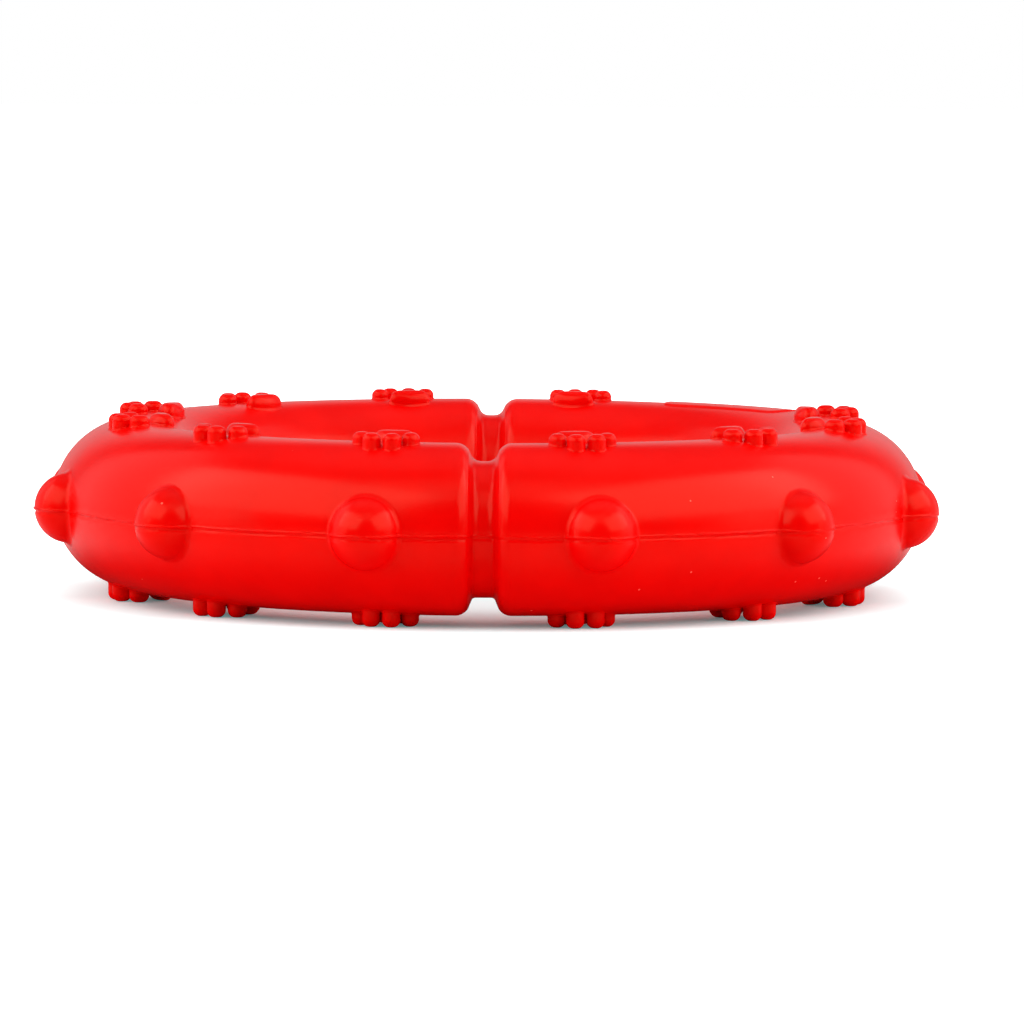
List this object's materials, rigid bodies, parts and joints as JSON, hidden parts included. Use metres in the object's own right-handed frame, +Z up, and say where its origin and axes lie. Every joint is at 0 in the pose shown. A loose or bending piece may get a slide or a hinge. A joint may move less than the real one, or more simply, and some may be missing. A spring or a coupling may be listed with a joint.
{
  "type": "rubber chew toy",
  "caption": "Solid rubber chew ring with grooved necks, round nubs around its rim and raised paw prints on both faces.",
  "frame": {"origin": "middle of the ring, on the plane that the lower paw prints rest on", "axes": "+Z up through the ring's hole, -Y towards the front neck, +X to the right seen from the front"},
  "size_m": [0.1032, 0.1032, 0.0215],
  "materials": {
    "red_rubber": "satin"
  },
  "bodies": {
    "root": {"lobe_left": "red_rubber", "lobe_right": "red_rubber", "neck_front": "red_rubber", "neck_back": "red_rubber", "nub_1": "red_rubber", "nub_2": "red_rubber", "nub_3": "red_rubber", "nub_4": "red_rubber", "nub_5": "red_rubber", "nub_6": "red_rubber", "nub_7": "red_rubber", "nub_8": "red_rubber", "nub_9": "red_rubber", "nub_10": "red_rubber", "nub_11": "red_rubber", "nub_12": "red_rubber", "paw_top_1": "red_rubber", "paw_top_2": "red_rubber", "paw_top_3": "red_rubber", "paw_top_4": "red_rubber", "paw_top_6": "red_rubber", "paw_top_7": "red_rubber", "paw_top_8": "red_rubber", "paw_top_9": "red_rubber", "paw_top_10": "red_rubber", "paw_top_11": "red_rubber", "paw_top_12": "red_rubber", "paw_bottom_1": "red_rubber", "paw_bottom_2": "red_rubber", "paw_bottom_3": "red_rubber", "paw_bottom_4": "red_rubber", "paw_bottom_5": "red_rubber", "paw_bottom_6": "red_rubber", "paw_bottom_7": "red_rubber", "paw_bottom_8": "red_rubber", "paw_bottom_9": "red_rubber", "paw_bottom_10": "red_rubber", "paw_bottom_11": "red_rubber", "paw_bottom_12": "red_rubber"}
  },
  "joints": []
}
